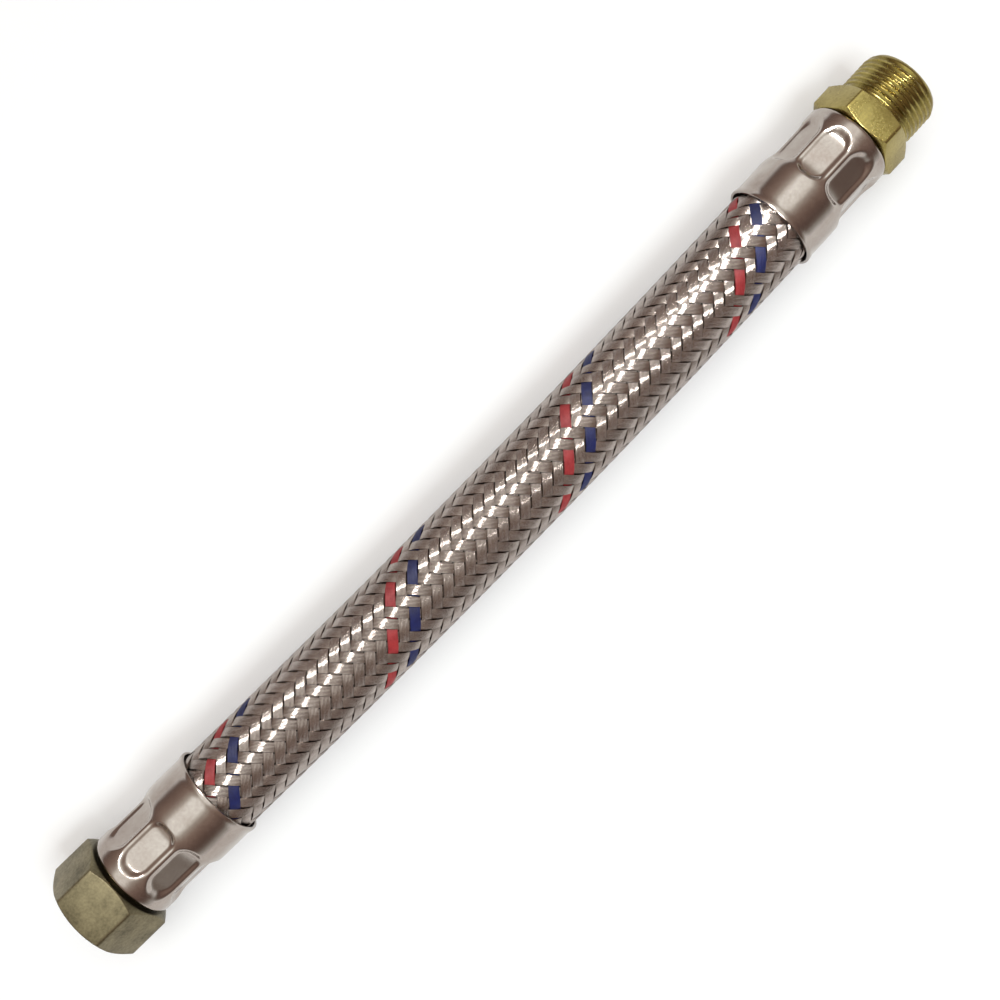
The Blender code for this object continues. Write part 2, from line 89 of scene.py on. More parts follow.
NUT_END = fitting_place(-1.0)
MALE_END = fitting_place(1.0)

# The woven sleeve: sixteen strands of bright stainless wire each way, over two and under two. Two of the
# strands that run one way are coloured yarn, a red and a blue, which mark the kind of hose. The strands are
# braided over the rubber hose by machine and are held only under the two ferrules.

CROSSING_PITCH = 4.6 * MM
CROSSING_CLOCK = math.radians(11.25)
WEAVE_CLOCK = math.radians(-30.0)
WEAVE_START = -106.25 * MM
TOP_CROSSING = 1.5
WOVEN_RADIUS = 13.46 * MM
WEAVE_LIFT = 0.30 * MM
FLOAT_FLATNESS = 0.42
SQUEEZE_START = 132.2 * MM
SQUEEZE_END = 134.6 * MM
SQUEEZED_SHARE = 0.837
STRAND_CROWN = 0.14 * MM
STRAND_ARCH = 0.48 * MM
STRAND_UNDERSIDE = -0.22 * MM
UNDERSIDE_WIDTH = 0.84
STEPS_PER_CROSSING = 3
STRAND_STEP = CROSSING_PITCH / 2 / STEPS_PER_CROSSING
STRAND_POINTS = int(2 * HOSE_END / STRAND_STEP) + 1


def tree_input(tree, name, kind, value):
    """Add a named input with its usual value to a node tree or a node group."""
    tree.interface.new_socket(name, in_out="INPUT", socket_type=kind).default_value = value


def plug(tree, socket, given):
    """Give an input a plain value, or link another node's output to it."""
    if isinstance(given, bpy.types.NodeSocket):
        tree.links.new(given, socket)
    else:
        socket.default_value = given


def add_math(tree, operation, *given):
    node = tree.nodes.new("ShaderNodeMath")
    node.operation = operation
    for socket, value in zip(node.inputs, given):
        plug(tree, socket, value)
    return node.outputs[0]


def add_node(tree, kind, inputs=(), **settings):
    """A node with its settings, and its inputs as (name or number, value) pairs."""
    node = tree.nodes.new(kind)
    for name, value in settings.items():
        setattr(node, name, value)
    for name, value in inputs:
        plug(tree, node.inputs[name], value)
    return node


def strand_tree():
    """Strands of one hand as closed ribbons of fine round wires, woven over two and under two."""
    tree = bpy.data.node_groups.new("woven_strands", "GeometryNodeTree")
    tree.is_modifier = True
    tree_input(tree, "First Strand", "NodeSocketInt", 0)
    tree_input(tree, "Every", "NodeSocketInt", 1)
    tree_input(tree, "Strands", "NodeSocketInt", 1)
    tree_input(tree, "Hand", "NodeSocketFloat", 1.0)
    tree_input(tree, "Points", "NodeSocketInt", STRAND_POINTS)
    tree_input(tree, "Wires", "NodeSocketInt", 8)
    tree_input(tree, "Width", "NodeSocketFloat", 3.2 * MM)
    tree_input(tree, "Wire Height", "NodeSocketFloat", 0.13 * MM)
    tree_input(tree, "Seed", "NodeSocketInt", 7)
    tree_input(tree, "Material", "NodeSocketMaterial", None)
    tree.interface.new_socket("Geometry", in_out="OUTPUT", socket_type="NodeSocketGeometry")
    given = tree.nodes.new("NodeGroupInput").outputs
    index = tree.nodes.new("GeometryNodeInputIndex").outputs[0]

    # Which strand a point belongs to, how far along the hose it lies, and its angle round the hose.
    past_strands = add_math(tree, "DIVIDE", add_math(tree, "ADD", index, 0.5), given["Points"])
    strand = add_math(tree, "FLOOR", past_strands)
    step = add_math(tree, "SUBTRACT", index, add_math(tree, "MULTIPLY", strand, given["Points"]))
    number = add_math(tree, "MULTIPLY_ADD", strand, given["Every"], given["First Strand"])
    half_run = add_math(tree, "MULTIPLY", given["Points"], STRAND_STEP / 2)
    run_so_far = add_math(tree, "MULTIPLY", add_math(tree, "ADD", step, 0.5), STRAND_STEP)
    along = add_math(tree, "SUBTRACT", run_so_far, half_run)
    run = add_math(tree, "DIVIDE", add_math(tree, "SUBTRACT", along, WEAVE_START), CROSSING_PITCH / 2)
    odd = add_math(tree, "MULTIPLY_ADD", number, 2.0, 1.0)
    crossing = add_math(tree, "MULTIPLY", given["Hand"], add_math(tree, "SUBTRACT", odd, run))
    clock = add_math(tree, "MULTIPLY_ADD", crossing, CROSSING_CLOCK, WEAVE_CLOCK)

    # The weave: each strand rises over two crossings and dips under two, and is pressed in at both ends.
    from_top = add_math(tree, "ADD", add_math(tree, "SUBTRACT", crossing, TOP_CROSSING), given["Hand"])
    wave = add_math(tree, "COSINE", add_math(tree, "MULTIPLY", from_top, math.pi / 2))
    wave_squared = add_math(tree, "MULTIPLY", wave, wave)
    flatter = add_math(tree, "MULTIPLY_ADD", wave_squared, -FLOAT_FLATNESS, 1.0 + FLOAT_FLATNESS)
    lift = add_math(tree, "MULTIPLY", wave, flatter)
    woven_radius = add_math(tree, "MULTIPLY_ADD", lift, WEAVE_LIFT, WOVEN_RADIUS)
    squeeze = add_node(
        tree,
        "ShaderNodeMapRange",
        [
            (0, add_math(tree, "ABSOLUTE", along)),
            (1, SQUEEZE_START),
            (2, SQUEEZE_END),
            (3, 1.0),
            (4, SQUEEZED_SHARE),
        ],
        interpolation_type="SMOOTHSTEP",
    ).outputs[0]
    radius = add_math(tree, "MULTIPLY", woven_radius, squeeze)

    # The point on the bent hose, and the direction away from its middle.
    on_arc = add_math(tree, "MINIMUM", add_math(tree, "MAXIMUM", along, -HALF_FREE), HALF_FREE)
    turn = add_math(tree, "DIVIDE", on_arc, BEND_RADIUS)
    straight = add_math(tree, "SUBTRACT", along, on_arc)
    turn_cos = add_math(tree, "COSINE", turn)
    turn_sin = add_math(tree, "SINE", turn)
    outwards = add_math(tree, "MULTIPLY", radius, add_math(tree, "SINE", clock))
    upwards = add_math(tree, "MULTIPLY", radius, add_math(tree, "COSINE", clock))
    arc_x = add_math(tree, "MULTIPLY_ADD", turn_sin, BEND_RADIUS, HOSE_MIDDLE.x)
    arc_y = add_math(tree, "MULTIPLY_ADD", turn_cos, -BEND_RADIUS, BEND_RADIUS + HOSE_MIDDLE.y)
    beside_x = add_math(tree, "MULTIPLY_ADD", outwards, turn_sin, arc_x)
    beside_y = add_math(tree, "SUBTRACT", arc_y, add_math(tree, "MULTIPLY", outwards, turn_cos))
    x = add_math(tree, "MULTIPLY_ADD", straight, turn_cos, beside_x)
    y = add_math(tree, "MULTIPLY_ADD", straight, turn_sin, beside_y)
    z = add_math(tree, "ADD", upwards, HOSE_MIDDLE.z)
    place = add_node(tree, "ShaderNodeCombineXYZ", [(0, x), (1, y), (2, z)]).outputs[0]
    away_x = add_math(tree, "MULTIPLY", outwards, turn_sin)
    away_y = add_math(tree, "MULTIPLY", outwards, add_math(tree, "MULTIPLY", turn_cos, -1.0))
    away = add_node(tree, "ShaderNodeCombineXYZ", [(0, away_x), (1, away_y), (2, upwards)]).outputs[0]
    away = add_node(tree, "ShaderNodeVectorMath", [(0, away)], operation="NORMALIZE").outputs[0]

    total = add_math(tree, "MULTIPLY", given["Strands"], given["Points"])
    points = add_node(tree, "GeometryNodePoints", [("Count", total), ("Position", place)]).outputs[0]
    normals = add_node(
        tree,
        "GeometryNodeStoreNamedAttribute",
        [("Geometry", points), ("Name", "away"), ("Value", away)],
        data_type="FLOAT_VECTOR",
        domain="POINT",
    ).outputs[0]
    lines = add_node(
        tree,
        "GeometryNodePointsToCurves",
        [("Points", normals), ("Curve Group ID", strand), ("Weight", step)],
    ).outputs[0]
    stored_away = add_node(
        tree, "GeometryNodeInputNamedAttribute", [("Name", "away")], data_type="FLOAT_VECTOR"
    ).outputs[0]
    lines = add_node(
        tree, "GeometryNodeSetCurveNormal", [("Curve", lines), ("Normal", stored_away)], mode="FREE"
    ).outputs[0]
    bobbin_tone = add_node(tree, "FunctionNodeRandomValue", [("ID", strand), ("Seed", given["Seed"])])
    toned = add_node(
        tree,
        "GeometryNodeStoreNamedAttribute",
        [("Geometry", lines), ("Name", "tone"), ("Value", bobbin_tone.outputs["Value"])],
        data_type="FLOAT",
        domain="POINT",
    ).outputs[0]

    # The strand's outline: round wires side by side on a slightly arched top, and a flat underside.
    last_top = add_math(tree, "MULTIPLY", given["Wires"], 2.0)
    on_top = add_math(tree, "LESS_THAN", index, add_math(tree, "ADD", last_top, 0.5))
    top_share = add_math(tree, "SUBTRACT", add_math(tree, "DIVIDE", index, last_top), 0.5)
    from_last = add_math(tree, "SUBTRACT", add_math(tree, "ADD", last_top, 1.5), index)
    bottom_share = add_math(tree, "MULTIPLY", from_last, UNDERSIDE_WIDTH)
    share = add_node(
        tree, "ShaderNodeMix", [(0, on_top), (2, bottom_share), (3, top_share)], data_type="FLOAT"
    ).outputs[0]
    share_squared = add_math(tree, "MULTIPLY", share, share)
    arch = add_math(tree, "MULTIPLY_ADD", share_squared, -STRAND_ARCH, STRAND_CROWN)
    ridge = add_math(tree, "MULTIPLY", add_math(tree, "MODULO", index, 2.0), given["Wire Height"])
    wire_top = add_math(tree, "ADD", arch, ridge)
    height = add_node(
        tree, "ShaderNodeMix", [(0, on_top), (2, STRAND_UNDERSIDE), (3, wire_top)], data_type="FLOAT"
    ).outputs[0]
    across = add_math(tree, "MULTIPLY", share, given["Width"])
    outline_place = add_node(tree, "ShaderNodeCombineXYZ", [(0, height), (1, across)]).outputs[0]
    corners = add_math(tree, "ADD", last_top, 3.0)
    circle = add_node(tree, "GeometryNodeCurvePrimitiveCircle", [("Resolution", corners)]).outputs[0]
    marked = add_node(
        tree,
        "GeometryNodeStoreNamedAttribute",
        [("Geometry", circle), ("Name", "across"), ("Value", share)],
        data_type="FLOAT",
        domain="POINT",
    ).outputs[0]
    outline = add_node(
        tree, "GeometryNodeSetPosition", [("Geometry", marked), ("Position", outline_place)]
    ).outputs[0]
    ribbon = add_node(
        tree, "GeometryNodeCurveToMesh", [("Curve", toned), ("Profile Curve", outline), ("Fill Caps", True)]
    ).outputs[0]
    real = add_node(tree, "GeometryNodeRealizeInstances", [("Geometry", ribbon)]).outputs[0]
    rounded = add_node(tree, "GeometryNodeSetShadeSmooth", [("Geometry", real)]).outputs[0]
    finished = add_node(
        tree, "GeometryNodeSetMaterial", [("Geometry", rounded), ("Material", given["Material"])]
    ).outputs[0]
    tree.links.new(finished, tree.nodes.new("NodeGroupOutput").inputs[0])
    return tree


def new_material(name, **values):
    """A material with a Principled shader whose plain values are set here."""
    material = bpy.data.materials.new(name)
    material.use_nodes = True
    shader = material.node_tree.nodes["Principled BSDF"]
    for socket, value in values.items():
        shader.inputs[socket.replace("_", " ")].default_value = value
    return material, material.node_tree, shader


def effect_group(name, inputs, outputs):
    """An empty shader group with named number or colour inputs, and outputs of the same kinds."""
    group = bpy.data.node_groups.new(name, "ShaderNodeTree")
    for label, value in inputs.items():
        kind = "NodeSocketColor" if isinstance(value, tuple) else "NodeSocketFloat"
        tree_input(group, label, kind, value)
    for label, kind in outputs.items():
        group.interface.new_socket(label, in_out="OUTPUT", socket_type=kind)
    return group, group.nodes.new("NodeGroupInput").outputs, group.nodes.new("NodeGroupOutput").inputs


def use_group(tree, group, **values):
    node = tree.nodes.new("ShaderNodeGroup")
    node.node_tree = group
    for label, value in values.items():
        plug(tree, node.inputs[label.replace("_", " ")], value)
    return node.outputs


def mix_colour(tree, factor, first, second, blend="MIX"):
    return add_node(
        tree, "ShaderNodeMix", [(0, factor), (6, first), (7, second)], data_type="RGBA", blend_type=blend
    ).outputs[2]


def rgba(red, green, blue):
    return (red, green, blue, 1.0)


# Mottling: two shades of one metal or rubber that drift into each other, with a finer grain on top.
mottling, given, out = effect_group(
    "mottling",
    {
        "Light": rgba(1, 1, 1),
        "Dark": rgba(0, 0, 0),
        "Size": 6.0 * MM,
        "Grain": 0.3,
        "Smooth": 0.2,
        "Rough": 0.4,
    },
    {"Colour": "NodeSocketColor", "Roughness": "NodeSocketFloat", "Mask": "NodeSocketFloat"},
)
coordinates = mottling.nodes.new("ShaderNodeTexCoord").outputs["Object"]
frequency = add_math(mottling, "DIVIDE", 1.0, given["Size"])
broad = add_node(
    mottling, "ShaderNodeTexNoise", [("Vector", coordinates), ("Scale", frequency), ("Detail", 3.0)]
)
fine = add_node(
    mottling,
    "ShaderNodeTexNoise",
    [("Vector", coordinates), ("Scale", add_math(mottling, "MULTIPLY", frequency, 9.0)), ("Detail", 2.0)],
)
blended = add_node(
    mottling,
    "ShaderNodeMix",
    [(0, given["Grain"]), (2, broad.outputs[0]), (3, fine.outputs[0])],
    data_type="FLOAT",
).outputs[0]
mask = add_node(mottling, "ShaderNodeMapRange", [(0, blended), (1, 0.33), (2, 0.67)]).outputs[0]
plug(mottling, out["Colour"], mix_colour(mottling, mask, given["Light"], given["Dark"]))
plug(
    mottling,
    out["Roughness"],
    add_node(
        mottling, "ShaderNodeMix", [(0, mask), (2, given["Smooth"]), (3, given["Rough"])], data_type="FLOAT"
    ).outputs[0],
)
plug(mottling, out["Mask"], mask)

# Round wires side by side in a strand: a height that rises and falls once for each wire.
wire_rows, given, out = effect_group("wire_rows", {"Wires": 8.0}, {"Height": "NodeSocketFloat"})
across = add_node(wire_rows, "ShaderNodeAttribute", attribute_name="across").outputs["Fac"]
turn = add_math(wire_rows, "FRACT", add_math(wire_rows, "MULTIPLY_ADD", across, given["Wires"], 100.0))
from_crest = add_math(wire_rows, "MULTIPLY_ADD", turn, 2.0, -1.0)
fall = add_math(wire_rows, "MULTIPLY", from_crest, from_crest)
plug(wire_rows, out["Height"], add_math(wire_rows, "SUBTRACT", 1.0, fall))

# Bright drawn steel wire. Each strand came off its own bobbin, so its tone differs a little from the next.
wire_steel, tree, shader = new_material("wire_steel", Metallic=1.0)
tone = add_node(tree, "ShaderNodeAttribute", attribute_name="tone").outputs["Fac"]
wire_mottle = use_group(
    tree,
    mottling,
    Light=rgba(0.425, 0.375, 0.344),
    Dark=rgba(0.294, 0.248, 0.222),
    Size=4.0 * MM,
    Grain=0.45,
    Smooth=0.12,
    Rough=0.19,
)
shade = add_node(tree, "ShaderNodeMapRange", [(0, tone), (1, 0.0), (2, 1.0), (3, 0.86), (4, 1.0)]).outputs[0]
grey = add_node(tree, "ShaderNodeCombineColor", [(0, shade), (1, shade), (2, shade)]).outputs[0]
plug(tree, shader.inputs["Base Color"], mix_colour(tree, 1.0, wire_mottle["Colour"], grey, "MULTIPLY"))
plug(tree, shader.inputs["Roughness"], wire_mottle["Roughness"])
rows = use_group(tree, wire_rows, Wires=8.0)
bump = add_node(
    tree, "ShaderNodeBump", [("Height", rows["Height"]), ("Distance", 0.07 * MM), ("Strength", 1.0)]
)
plug(tree, shader.inputs["Normal"], bump.outputs[0])


def yarn(name, light, dark):
    """Coloured yarn: many thin dyed filaments, a little glossy."""
    material, tree, shader = new_material(name, Metallic=0.0, Specular_IOR_Level=0.5)
    faded = use_group(tree, mottling, Light=light, Dark=dark, Size=2.2 * MM, Grain=0.5, Smooth=0.4, Rough=0.6)
    plug(tree, shader.inputs["Base Color"], faded["Colour"])
    plug(tree, shader.inputs["Roughness"], faded["Roughness"])
    filaments = use_group(tree, wire_rows, Wires=14.0)
    ridges = add_node(
        tree, "ShaderNodeBump", [("Height", filaments["Height"]), ("Distance", 0.03 * MM), ("Strength", 1.0)]
    )
    plug(tree, shader.inputs["Normal"], ridges.outputs[0])
    return material


red_yarn = yarn("red_yarn", rgba(0.42, 0.034, 0.036), rgba(0.23, 0.011, 0.015))
blue_yarn = yarn("blue_yarn", rgba(0.006, 0.014, 0.115), rgba(0.003, 0.0045, 0.05))
weaving = strand_tree()


def braid_strands(name, hand, first, every, count, material, seed):
    """Some of the strands that run one way: the number of the first, the step to the next, and how many."""
    holder = bpy.data.meshes.new(name)
    piece = bpy.data.objects.new(name, holder)
    scene.collection.objects.link(piece)
    modifier = piece.modifiers.new("weave", "NODES")
    modifier.node_group = weaving
    sockets = {item.name: item.identifier for item in weaving.interface.items_tree if item.in_out == "INPUT"}
    modifier[sockets["Hand"]] = hand
    modifier[sockets["First Strand"]] = first
    modifier[sockets["Every"]] = every
    modifier[sockets["Strands"]] = count
    modifier[sockets["Material"]] = material
    modifier[sockets["Seed"]] = seed
    evaluated = piece.evaluated_get(bpy.context.evaluated_depsgraph_get())
    mesh = bpy.data.meshes.new_from_object(evaluated)
    piece.modifiers.clear()
    piece.data = mesh
    bpy.data.meshes.remove(holder)
    mesh.name = name
    for spare in ("away", "Curve Group ID"):
        if spare in mesh.attributes:
            mesh.attributes.remove(mesh.attributes[spare])
    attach(piece, "hose")
    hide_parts("braid_sleeve")
    return piece


hose_steel = braid_strands("braid_right_odd", 1.0, 1, 2, 8, wire_steel, 3)
steel_strands = [
    hose_steel,
    braid_strands("braid_right_even", 1.0, 2, 2, 6, wire_steel, 5),
    braid_strands("braid_left_odd", -1.0, 1, 2, 8, wire_steel, 8),
    braid_strands("braid_left_even", -1.0, 0, 2, 8, wire_steel, 13),
]
braid_strands("blue_strand", 1.0, 0, 1, 1, blue_yarn, 21)
braid_strands("red_strand", 1.0, 14, 1, 1, red_yarn, 34)

# The rubber hose inside the sleeve: black extruded rubber, pushed over the barbs of both fittings. It shows
# only as the dark gaps between the strands.

black_rubber, tree, shader = new_material("black_rubber", Metallic=0.0)
dusty = use_group(
    tree,
    mottling,
    Light=rgba(0.055, 0.045, 0.038),
    Dark=rgba(0.02, 0.017, 0.015),
    Size=3.0 * MM,
    Grain=0.4,
    Smooth=0.6,
    Rough=0.8,
)
plug(tree, shader.inputs["Base Color"], dusty["Colour"])
plug(tree, shader.inputs["Roughness"], dusty["Roughness"])


def refinish(node, material):
    for slot in nodes[node].material_slots:
        slot.material = material


refinish("inner_tube", black_rubber)

# The ferrules: thin stainless tubes with a flared mouth. Eight dies press each one onto the hose and leave
# eight long dents with rounded ends; its rear edge is turned in to the neck of the fitting. The outline gives
# the height above the mouth and the radius, in mm, before the dies.

FERRULE_WALL = 0.9 * MM
FERRULE_OUTLINE = [
    (0.0, 15.3),
    (0.12, 15.52),
    (0.35, 15.6),
    (0.9, 15.6),
    (1.5, 15.45),
    (2.3, 15.27),
    (3.2, 15.2),
    (8.0, 15.24),
    (13.2, 15.2),
    (14.3, 15.1),
    (15.4, 14.86),
    (16.6, 14.5),
    (17.6, 14.25),
    (18.8, 14.15),
    (28.0, 14.15),
    (29.2, 14.2),
    (30.3, 14.4),
    (31.2, 14.55),
    (32.0, 14.6),
    (35.2, 14.6),
    (35.8, 14.46),
    (36.15, 14.15),
    (36.3, 13.7),
]
FERRULE_HOLE = 9.0 * MM
PRESSED_FROM = 11.5 * MM
PRESSED_TO = 34.5 * MM
PRESSED_STATIONS = 70
PRESSED_BLEND = 0.7 * MM
EDGE_BEVEL = 0.15 * MM
MOUTH_BEVEL = 0.12 * MM
CRIMPS = 8
CRIMPED_RADIUS = 14.15 * MM
CRIMP_DEPTH = 1.35 * MM
CRIMP_MIDDLE = 23.5 * MM
CRIMP_HALF_LENGTH = 9.5 * MM
CRIMP_HALF_WIDTH = 5.5 * MM
CRIMP_CORNER = 4.7 * MM
CRIMP_WALL = 1.8 * MM
REAR_WALL_SHARE = 0.5
FERRULE_CLOCKS = np.linspace(0.0, math.tau, 240, endpoint=False)


def lathe(name, rows, clocks, place, material, body):
    """A ring-shaped solid: each row gives a radius and a height for every clock angle, outside first."""
    points = []
    for radius, height in rows:
        radius, height = np.broadcast_arrays(radius, height, clocks)[:2]
        points += [
            place @ Vector((r * math.cos(c), r * math.sin(c), h)) for r, h, c in zip(radius, height, clocks)
        ]
    across, down = len(clocks), len(rows)
    faces = []
    for row in range(down):
        below, above = row * across, (row + 1) % down * across
        for column in range(across):
            beside = (column + 1) % across
            faces.append((below + column, below + beside, above + beside, above + column))
    mesh = bpy.data.meshes.new(name)
    mesh.from_pydata(points, [], faces)
    mesh.materials.append(material)
    mesh.shade_smooth()
    mesh.set_sharp_from_angle(angle=math.radians(38.0))
    piece = bpy.data.objects.new(name, mesh)
    scene.collection.objects.link(piece)
    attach(piece, body)
    return piece


def crimp_dent(clocks, height, crimp_clock):
    """How far a flat die has pressed the ferrule in: a long mark, round-ended, gentler at its rear end."""
    spacing = math.tau / CRIMPS
    off_middle = np.abs((clocks - crimp_clock + spacing / 2) % spacing - spacing / 2)
    beside = CRIMP_CORNER - CRIMP_HALF_WIDTH + off_middle * CRIMPED_RADIUS
    from_end = CRIMP_HALF_LENGTH - abs(height - CRIMP_MIDDLE)
    if height > CRIMP_MIDDLE:
        share_of_length = from_end / CRIMP_HALF_LENGTH
        from_end *= REAR_WALL_SHARE + (1.0 - REAR_WALL_SHARE) * share_of_length
    beyond = CRIMP_CORNER - from_end
    outside = np.hypot(np.maximum(beside, 0.0), max(beyond, 0.0)) - CRIMP_CORNER
    inside = np.minimum(np.maximum(beside, beyond), 0.0)
    share = np.clip(-(outside + inside) / CRIMP_WALL, 0.0, 1.0)
    flat_floor = (CRIMPED_RADIUS - CRIMP_DEPTH) / np.cos(off_middle)
    return (CRIMPED_RADIUS - flat_floor) * share * share * (3.0 - 2.0 * share)


def ferrule(name, node, crimp_clock, place, material):
    """One pressed ferrule, with close stations where the dies bend it, standing for a CAD node."""
    heights, radii = np.array(FERRULE_OUTLINE).T * MM
    close = np.linspace(PRESSED_FROM, PRESSED_TO, PRESSED_STATIONS)
    stations = np.concatenate([heights[heights < PRESSED_FROM], close, heights[heights > PRESSED_TO]])
    blend = np.where((stations >= PRESSED_FROM) & (stations <= PRESSED_TO), PRESSED_BLEND, 0.0)
    blended = [np.interp(stations + blend * share, heights, radii) for share in (-1.0, -0.5, 0.0, 0.5, 1.0)]
    radii = sum(blended) / len(blended)
    outer = [(r - crimp_dent(FERRULE_CLOCKS, h, crimp_clock), h) for r, h in zip(radii, stations)]
    rear = stations[-1]
    inner_rear = rear - FERRULE_WALL
    lip = [(FERRULE_HOLE + EDGE_BEVEL, rear), (FERRULE_HOLE, rear - EDGE_BEVEL), (FERRULE_HOLE, inner_rear)]
    inner = [(radius - FERRULE_WALL, h) for radius, h in outer if 2 * EDGE_BEVEL < h < inner_rear]
    mouth = [(inner[0][0], MOUTH_BEVEL), (inner[0][0] + MOUTH_BEVEL, 0.0)]
    piece = lathe(name, outer + lip + inner[::-1] + mouth, FERRULE_CLOCKS, place, material, "hose")
    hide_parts(node)
    return piece


# Fine lines that a lathe or a polishing band leaves round a fitting: noise that changes along its axis only.
lathe_lines, given, out = effect_group(
    "lathe_lines", {"Width": 0.25 * MM, "Turn": 1.0}, {"Height": "NodeSocketFloat"}
)
metal_place = lathe_lines.nodes.new("ShaderNodeTexCoord").outputs["Object"]
sideways = add_math(lathe_lines, "MULTIPLY", given["Turn"], math.sin(HALF_BEND))
axis = add_node(lathe_lines, "ShaderNodeCombineXYZ", [(0, math.cos(HALF_BEND)), (1, sideways)]).outputs[0]
along_axis = add_node(
    lathe_lines, "ShaderNodeVectorMath", [(0, metal_place), (1, axis)], operation="DOT_PRODUCT"
).outputs["Value"]
line_noise = add_node(
    lathe_lines,
    "ShaderNodeTexNoise",
    [("W", add_math(lathe_lines, "DIVIDE", along_axis, given["Width"])), ("Scale", 1.0), ("Detail", 2.0)],
    noise_dimensions="1D",
).outputs[0]
plug(lathe_lines, out["Height"], line_noise)


def polished_stainless(name, turn):
    """Polished stainless tube, slightly uneven, with fine lines round the axis that this turn gives."""
    material, tree, shader = new_material(name, Metallic=1.0)
    tint = use_group(
        tree,
        mottling,
        Light=rgba(0.431, 0.39, 0.354),
        Dark=rgba(0.325, 0.275, 0.244),
        Size=9.0 * MM,
        Grain=0.25,
        Smooth=0.13,
        Rough=0.22,
    )
    plug(tree, shader.inputs["Base Color"], tint["Colour"])
    plug(tree, shader.inputs["Roughness"], tint["Roughness"])
    lines = use_group(tree, lathe_lines, Width=0.3 * MM, Turn=turn)
    bump = add_node(
        tree, "ShaderNodeBump", [("Height", lines["Height"]), ("Distance", 0.004 * MM), ("Strength", 0.5)]
    )
    plug(tree, shader.inputs["Normal"], bump.outputs[0])
    return material


nut_end_ferrule = ferrule(
    "pressed_ferrule_nut_end",
    "nut_end_ferrule",
    math.radians(8.0),
    NUT_END,
    polished_stainless("nut_end_stainless", -1.0),
)
male_end_ferrule = ferrule(
    "pressed_ferrule_male_end",
    "male_end_ferrule",
    math.radians(33.0),
    MALE_END,
    polished_stainless("male_end_stainless", 1.0),
)

# The loose nut: turned and threaded from hexagon brass bar, dull with handling. It spins on the neck behind
# the flange of the tail and draws the washer against the pipe. Its corners are chamfered at both ends.

HEX_SECTOR = [-29.1, -27.0, -22.0, -16.0, -10.0, -5.0, 0.0, 5.0, 10.0, 16.0, 22.0, 27.0, 29.1, 30.0]
HEX_TURN = math.radians(2.5)
HEX_CLOCKS = np.radians([sector * 60.0 + place for sector in range(6) for place in HEX_SECTOR]) + HEX_TURN
CORNER_BEVEL = 0.13 * MM
THREAD_PITCH = 25.4 / 14 * MM
ROWS_PER_PITCH = 12
RIDGE_SHARPNESS = 1.8
NUT_BACK = FERRULE_LENGTH + 1.0 * MM
NUT_FRONT = NUT_BACK + 16.0 * MM
NUT_FLATS = 30.0 * MM
NUT_BORE = 12.3 * MM
NUT_MOUTH = 13.45 * MM
NUT_MOUTH_DEPTH = 1.15 * MM
NUT_NECK_HOLE = 9.7 * MM
NUT_BACK_RADIUS = 11.0 * MM
NUT_BACK_WALL = 3.0 * MM
NUT_THREAD_END = 8.6 * MM
NUT_THREAD_DEPTH = 0.9 * MM


def hexagon_radius(across_flats):
    """Distance from the axis to a hexagon bar's surface, with a thin bevel along each corner."""
    from_flat = (HEX_CLOCKS - HEX_TURN + math.pi / 6) % (math.pi / 3) - math.pi / 6
    flat = across_flats / 2 / np.cos(from_flat)
    corner = (across_flats / math.sqrt(3.0) - CORNER_BEVEL) / np.cos(math.pi / 6 - np.abs(from_flat))
    return np.minimum(flat, corner)


def softened(corners, rounding):
    """Turn each corner of an outline into a small round of three points."""
    rows = [tuple(np.broadcast_arrays(r, h, HEX_CLOCKS)[:2]) for r, h in corners]
    soft = []
    for before, corner, after in zip([rows[0]] + rows, rows, rows[1:] + [rows[-1]]):
        ends = []
        for other in (before, after):
            run = np.hypot(other[0] - corner[0], other[1] - corner[1])
            share = np.where(run > 0.0, np.minimum(rounding / np.maximum(run, 1e-9), 0.4), 0.0)
            ends.append([corner[k] + (other[k] - corner[k]) * share for k in (0, 1)])
        if before is corner or after is corner:
            soft.append(corner)
            continue
        middle = [0.25 * ends[0][k] + 0.5 * corner[k] + 0.25 * ends[1][k] for k in (0, 1)]
        soft += [tuple(ends[0]), tuple(middle), tuple(ends[1])]
    return soft


def thread_rows(first, last, root, rise, clear_ends):
    """Rows across a right-handed pipe thread with rounded ridges that run out at both ends."""
    count = int(abs(last - first) / (THREAD_PITCH / ROWS_PER_PITCH))
    rows = []
    for height in np.linspace(first, last, count):
        turn = (height / THREAD_PITCH - HEX_CLOCKS / math.tau) % 1.0
        valley = np.clip((0.5 - np.abs(turn - 0.5)) * 2.0 * RIDGE_SHARPNESS, 0.0, 1.0)
        ridge = 1.0 - valley * valley * (3.0 - 2.0 * valley)
        end = min(abs(height - first), abs(last - height)) / clear_ends
        rows.append((root + rise * ridge * min(1.0, end), height))
    return rows


def edge_wear_attribute(piece):
    """Store how sharply the surface turns outwards at each point, for the bright worn edges."""
    mesh = piece.data
    count = len(mesh.vertices)
    places = np.empty(count * 3, "f")
    mesh.vertices.foreach_get("co", places)
    normals = np.empty(count * 3, "f")
    mesh.vertices.foreach_get("normal", normals)
    ends = np.empty(len(mesh.edges) * 2, "i")
    mesh.edges.foreach_get("vertices", ends)
    places, normals, ends = places.reshape(-1, 3), normals.reshape(-1, 3), ends.reshape(-1, 2)
    run = places[ends[:, 1]] - places[ends[:, 0]]
    length = np.maximum(np.linalg.norm(run, axis=1), 1e-7)
    turn = np.einsum("ij,ij->i", normals[ends[:, 1]] - normals[ends[:, 0]], run) / length
    sharp = np.zeros(count)
    for side in (0, 1):
        np.maximum.at(sharp, ends[:, side], turn)
    worn = mesh.attributes.new("worn", "FLOAT", "POINT")
    worn.data.foreach_set("value", np.clip((sharp - 0.12) / 0.4, 0.0, 1.0).astype("f"))


